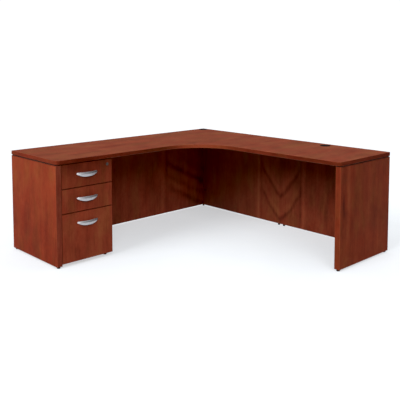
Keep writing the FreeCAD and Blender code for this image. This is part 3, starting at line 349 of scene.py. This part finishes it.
def left_end_mark(graph, point):
    """Darker towards the floor, with painted shade along the top under the worktop."""
    fade = graph.spread(point[2], 0.10, 0.66, -0.10, 0.12)
    return graph.math("ADD", fade, painted_reveal_shade(graph, point, "left_end_panel"))


def top_front_painted_shade(graph, point):
    """Painted shade under the worktop's overhang: darker towards the worktop."""
    return graph.spread(point[2], 0.57, 0.70, 0.05, -0.17)


def worktop_material():
    """Veneer on the L-shaped top: a sheet on its faces, and a band round its edge, painted lighter round the
    curved bay and at the left end, with a painted highlight along its top arris.
    """
    material, graph, shader = new_material("cherry_worktop")
    low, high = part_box("worktop")
    point = graph.split(graph.place())
    flat = graph.math("GREATER_THAN", graph.facing()[2], 0.5)
    edge = graph.math("SUBTRACT", 1.0, flat)
    face_sheet = graph.node("ShaderNodeGroup", node_tree=CHERRY)
    graph.feed(face_sheet.inputs["Along"], point[1])
    graph.feed(face_sheet.inputs["Across"], point[0])
    graph.feed(face_sheet.inputs["Seed"], 2.0)
    edge_sheet = graph.node("ShaderNodeGroup", node_tree=CHERRY)
    graph.feed(edge_sheet.inputs["Along"], graph.math("ADD", point[0], point[1]))
    graph.feed(edge_sheet.inputs["Across"], point[2])
    graph.feed(edge_sheet.inputs["Seed"], 6.0)
    # Painted light on the edge band: it is lighter round the curved bay in the corner and on the face at the
    # left end.
    bay = stripe(graph, graph.math("ADD", point[0], point[1]), 0.0, 0.50)
    left_end = graph.spread(point[1], low.y + 0.004, low.y + 0.012, 0.14, 0.0)
    edge_mark = graph.math("MULTIPLY_ADD", bay, 0.42, graph.math("SUBTRACT", left_end, 0.20))
    graph.feed(edge_sheet.inputs["Mark"], edge_mark)
    band = graph.blend(1.0, edge_sheet.outputs["Colour"], (0.98, 0.80, 0.82), "MULTIPLY")
    outputs = {"Colour": graph.blend(edge, face_sheet.outputs["Colour"], band)}
    for name in ("Roughness", "Height"):
        outputs[name] = graph.pick(edge, edge_sheet.outputs[name], face_sheet.outputs[name])
    # A painted highlight along the top arris of the edge band.
    top_arris = graph.spread(point[2], high.z - 0.0035, high.z - 0.0012, 0.0, 0.5)
    arris_mask = graph.math("MULTIPLY", top_arris, edge)
    finish_veneer(graph, shader, outputs, arris_mask, (0.99, 1.20, 1.14), WEAR_AND_HIGHLIGHT)
    graph.feed(shader["Specular IOR Level"], graph.math("MULTIPLY_ADD", edge, -0.11, 0.12))
    return material


BIRCH_TONES = ((0.25, (0.50, 0.33, 0.19)), (0.5, (0.66, 0.48, 0.30)), (0.8, (0.78, 0.61, 0.42)))
PLY_TONES = ((0.0, (0.40, 0.25, 0.14)), (1.0, (0.70, 0.53, 0.35)))
PLY_THICKNESS = 0.0017


def birch_material():
    """Birch plywood: pale faces with fine grain, and stripes of plies on the top edges."""
    material, graph, shader = new_material("drawer_birch")
    point = graph.split(graph.place())
    grain_point = graph.combine(graph.math("MULTIPLY", point[0], 4.0), graph.math("MULTIPLY", point[1], 4.0),
                                graph.math("MULTIPLY", point[2], 260.0))
    grain = graph.noise(grain_point, detail=3.0, roughness=0.6)
    cloud = graph.noise(graph.place(), scale=6.0, detail=3.0)
    tone = graph.math("ADD", graph.math("MULTIPLY", grain, 0.55), graph.math("MULTIPLY", cloud, 0.5))
    face = graph.ramp(tone, BIRCH_TONES)
    layer = graph.math("PINGPONG", graph.math("ADD", point[0], point[1]), PLY_THICKNESS)
    plies = graph.ramp(graph.spread(layer, 0.0005, 0.0012), PLY_TONES)
    on_top = graph.math("GREATER_THAN", graph.facing()[2], ALONG_AN_AXIS)
    graph.feed(shader["Base Color"], graph.blend(on_top, face, plies))
    graph.feed(shader["Roughness"], graph.spread(grain, 0.2, 0.8, 0.42, 0.55))
    graph.feed(shader["Normal"], graph.bump(grain, 0.2, 0.0004))
    return material


def hardboard_material():
    """Drawer bottoms: smooth pale panels with a faint fibre."""
    material, graph, shader = new_material("drawer_bottom_panel")
    cloud = graph.noise(graph.place(), scale=9.0, detail=4.0)
    speck = graph.noise(graph.place(), scale=700.0, detail=1.0)
    tone = graph.math("ADD", graph.math("MULTIPLY", cloud, 0.6), graph.math("MULTIPLY", speck, 0.4))
    graph.feed(shader["Base Color"], graph.ramp(tone, [(0.3, (0.54, 0.38, 0.24)), (0.7, (0.68, 0.52, 0.35))]))
    graph.feed(shader["Roughness"], graph.spread(speck, 0.3, 0.7, 0.45, 0.6))
    graph.feed(shader["Normal"], graph.bump(speck, 0.15, 0.0002))
    return material


def metal_material(name, colour, dark, roughness, run, brushed):
    """Plated steel with fine lines along one axis and faint cloudy patches."""
    material, graph, shader = new_material(name)
    point = graph.split(graph.place())
    scales = [12.0 if AXES[axis] == run else brushed for axis in range(3)]
    stretched = graph.combine(*[graph.math("MULTIPLY", point[axis], scales[axis]) for axis in range(3)])
    lines = graph.noise(stretched, detail=2.0, roughness=0.6)
    cloud = graph.noise(graph.place(), scale=45.0, detail=3.0)
    tone = graph.math("ADD", graph.math("MULTIPLY", lines, 0.6), graph.math("MULTIPLY", cloud, 0.4))
    graph.feed(shader["Base Color"], graph.ramp(tone, [(0.3, dark), (0.7, colour)]))
    graph.feed(shader["Roughness"], graph.spread(tone, 0.25, 0.75, roughness + 0.08, roughness - 0.05))
    graph.feed(shader["Normal"], graph.bump(lines, 0.08, 0.0002))
    shader["Metallic"].default_value = 1.0
    return material


def plastic_material(name, colour, roughness, grain, sheen):
    """Moulded plastic or powder coat with a fine grain and slightly paler patches."""
    material, graph, shader = new_material(name)
    speck = graph.noise(graph.place(), scale=grain, detail=2.0)
    patch = graph.noise(graph.place(), scale=18.0, detail=3.0)
    light = tuple(1.9 * part + 0.004 for part in colour)
    graph.feed(shader["Base Color"], graph.ramp(patch, [(0.35, colour), (0.75, light)]))
    graph.feed(shader["Roughness"], graph.spread(patch, 0.3, 0.7, roughness - 0.06, roughness + 0.08))
    graph.feed(shader["Normal"], graph.bump(speck, 0.25, 0.0003))
    shader["Specular IOR Level"].default_value = sheen
    return material


FLOOR_TONES = ((0.3, (0.41, 0.435, 0.46)), (0.7, (0.43, 0.455, 0.48)))
FLOOR_GLOW = (0.98, 1.0, 1.02, 1.0)
FLOOR_GLOW_STRENGTH = 0.515


def floor_material():
    """A pale floor that glows a little, so that it stays near white in the desk's soft shadow."""
    material, graph, shader = new_material("studio_floor")
    soft = graph.noise(graph.place(), scale=3.0, detail=2.0)
    graph.feed(shader["Base Color"], graph.ramp(soft, FLOOR_TONES))
    shader["Roughness"].default_value = 0.8
    shader["Specular IOR Level"].default_value = 0.1
    shader["Emission Color"].default_value = FLOOR_GLOW
    shader["Emission Strength"].default_value = FLOOR_GLOW_STRENGTH
    return material


def wear_material(material, *nodes):
    """Puts one material on every face of each node."""
    for node in nodes:
        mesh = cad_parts[node].data
        mesh.materials.clear()
        mesh.materials.append(material)
        for face in mesh.polygons:
            face.material_index = 0


def dress_board(node, along, across, seed, **settings):
    wear_material(board_material(node, along, across, seed, **settings), node)


def dress_boards():
    dress_board("left_end_panel", "Z", "X", 11.0, mark=left_end_mark,
                tint=(1.12, 0.96, 0.80), band_tint=(1.08, 1.30, 1.55), sheen=0.02)
    dress_board("right_end_panel", "Z", "Y", 23.0, mark=right_end_mark,
                tint=(0.92, 0.92, 0.80), band_tint=(0.90, 0.92, 0.85), sheen=0.02)
    dress_board("left_modesty_panel", "Z", "Y", 31.0, mark=left_modesty_mark)
    dress_board("right_modesty_panel", "Z", "X", 37.0, mark=right_modesty_mark, tint=(0.84, 0.94, 0.94))
    dress_board("pedestal_left_side", "Z", "X", 41.0)
    dress_board("pedestal_right_side", "Z", "X", 43.0)
    dress_board("pedestal_bottom", "Y", "X", 47.0)
    dress_board("pedestal_back", "Z", "Y", 53.0)
    dress_board("pedestal_top_rails", "Y", "X", 59.0)
    # The fronts are cut from one sheet, so they share a seed.
    # Their arrises are darkened as painted shade in the gaps between the fronts.
    fronts = {"seed": 71.0, "arris": PAINTED_GAP_SHADE}
    # The tints make the top front darker than the two below it, as painted shade under the worktop.
    dress_board("file_drawer_front", "Z", "Y", tint=(1.28, 1.32, 1.30), **fronts)
    dress_board("middle_drawer_front", "Z", "Y", tint=(1.20, 1.22, 1.20), **fronts)
    dress_board("top_drawer_front", "Z", "Y", tint=(1.0, 0.98, 0.94), mark=top_front_painted_shade, **fronts)


def nodes_ending(ending):
    return [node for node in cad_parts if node.endswith(ending)]


def dress_drawer_boxes():
    parts = ("left_side", "right_side", "back")
    wear_material(birch_material(), *[f"{drawer}_drawer_{part}" for drawer in DRAWERS for part in parts])
    wear_material(hardboard_material(), *[f"{drawer}_drawer_bottom" for drawer in DRAWERS])


def dress_plastic():
    strips = plastic_material("black_strip", (0.006, 0.006, 0.006), 0.6, 900.0, 0.1)
    wear_material(strips, "support_reveal_strips", "back_reveal_strips")
    grommets = plastic_material("black_plastic", (0.006, 0.006, 0.006), 0.55, 1400.0, 0.03)
    wear_material(grommets, "grommet_sleeves", "corner_grommet_cap", "right_grommet_cap")
    glides = plastic_material("glide_plastic", (0.005, 0.005, 0.005), 0.6, 1100.0, 0.05)
    wear_material(glides, *nodes_ending("_glide"))


def dress_metal():
    zinc = metal_material("zinc_steel", (0.62, 0.63, 0.66), (0.46, 0.47, 0.50), 0.34, "X", 500.0)
    wear_material(zinc, *nodes_ending("slide_members"))
    wear_material(zinc, "lock_strike", "lock_cam", "file_drawer_hanging_rails")
    screws = metal_material("screw_steel", (0.55, 0.56, 0.58), (0.35, 0.36, 0.38), 0.30, "Z", 900.0)
    wear_material(screws, *nodes_ending("_screws"))
    paint = plastic_material("painted_steel", (0.100, 0.016, 0.008), 0.5, 700.0, 0.1)
    wear_material(paint, "steel_brackets", "bracket_screws")
    nickel = metal_material("satin_nickel", (0.52, 0.51, 0.53), (0.43, 0.42, 0.44), 0.42, "Y", 700.0)
    wear_material(nickel, *[f"{drawer}_drawer_pull" for drawer in DRAWERS])
    lock = metal_material("lock_metal", (0.17, 0.15, 0.14), (0.09, 0.08, 0.075), 0.34, "Z", 600.0)
    wear_material(lock, "lock_housing", "lock_plug")


def dress_frame():
    wear_material(worktop_material(), "worktop")
    dress_boards()
    dress_drawer_boxes()
    dress_plastic()
    dress_metal()


FLOOR_RADIUS = 40.0


def make_floor():
    mesh = bpy.data.meshes.new("studio_floor")
    made = bmesh.new()
    bmesh.ops.create_circle(made, cap_ends=True, segments=96, radius=FLOOR_RADIUS)
    made.to_mesh(mesh)
    made.free()
    mesh.materials.append(floor_material())
    floor = bpy.data.objects.new("studio_floor", mesh)
    bpy.context.scene.collection.objects.link(floor)
    floor.visible_diffuse = False


SUN_WIDTH = math.radians(30.0)


def add_sun(name, azimuth, elevation, energy):
    """A wide soft sun. Azimuth 0 is at -Y and 90 at +X, in degrees."""
    turn, rise = math.radians(azimuth), math.radians(elevation)
    towards = Vector((math.sin(turn) * math.cos(rise), -math.cos(turn) * math.cos(rise), math.sin(rise)))
    light = bpy.data.lights.new(name, "SUN")
    light.energy = energy
    light.angle = SUN_WIDTH
    lamp = bpy.data.objects.new(name, light)
    lamp.rotation_euler = (-towards).to_track_quat("-Z", "Y").to_euler()
    bpy.context.scene.collection.objects.link(lamp)


BACKDROP_STRENGTH = 1.05
OVERHEAD_FILL = 1.44
GROUND_FILL = 0.66


def make_world():
    """White behind the desk, and fill light from overhead with a little from below the horizon."""
    world = bpy.data.worlds.new("studio")
    world.use_nodes = True
    graph = Graph(world.node_tree)
    world.node_tree.nodes.clear()
    seen = graph.node("ShaderNodeBackground")
    seen.inputs["Strength"].default_value = BACKDROP_STRENGTH
    fill = graph.node("ShaderNodeBackground")
    height = graph.split(graph.node("ShaderNodeTexCoord").outputs["Generated"])[2]
    upward = graph.spread(height, 0.3, 1.0, 0.0, OVERHEAD_FILL, smooth=False)
    downward = graph.spread(height, -1.0, 0.0, GROUND_FILL, 0.0, smooth=False)
    graph.feed(fill.inputs["Strength"], graph.math("ADD", upward, downward))
    for background in (seen, fill):
        background.inputs["Color"].default_value = (1.0, 1.0, 1.0, 1.0)
    mixed = graph.node("ShaderNodeMixShader")
    graph.feed(mixed.inputs[0], graph.node("ShaderNodeLightPath").outputs["Is Camera Ray"])
    graph.feed(mixed.inputs[1], fill.outputs[0])
    graph.feed(mixed.inputs[2], seen.outputs[0])
    graph.feed(graph.node("ShaderNodeOutputWorld").inputs[0], mixed.outputs[0])
    bpy.context.scene.world = world


def set_grade():
    grade = bpy.context.scene.view_settings
    grade.view_transform = "Standard"
    grade.use_curve_mapping = True
    grade.curve_mapping.black_level = (0.004, 0.004, 0.004)
    grade.curve_mapping.update()


def light_studio():
    add_sun("key", azimuth=0.0, elevation=32.0, energy=2.00)
    add_sun("side", azimuth=60.0, elevation=32.0, energy=1.05)
    make_world()
    set_grade()


# The camera stands in front of the desk's inner corner at eye height and looks slightly down.
CAMERA_PLACE = (3.3003, -3.1252, 1.4695)
CAMERA_TILT = 85.4  # degrees up from straight down
CAMERA_TURN = 46.49
SENSOR_WIDTH = 36.0
FOCAL_LENGTH = 55.83
FRAME_SHIFT = -0.2416  # moves the desk up to the middle of the frame


def set_camera():
    data = bpy.data.cameras.new("camera")
    data.sensor_width = SENSOR_WIDTH
    data.lens = FOCAL_LENGTH
    data.shift_y = FRAME_SHIFT
    camera = bpy.data.objects.new("camera", data)
    camera.location = CAMERA_PLACE
    camera.rotation_euler = (math.radians(CAMERA_TILT), 0.0, math.radians(CAMERA_TURN))
    bpy.context.scene.collection.objects.link(camera)
    bpy.context.scene.camera = camera


dress_frame()
make_floor()
light_studio()
set_camera()
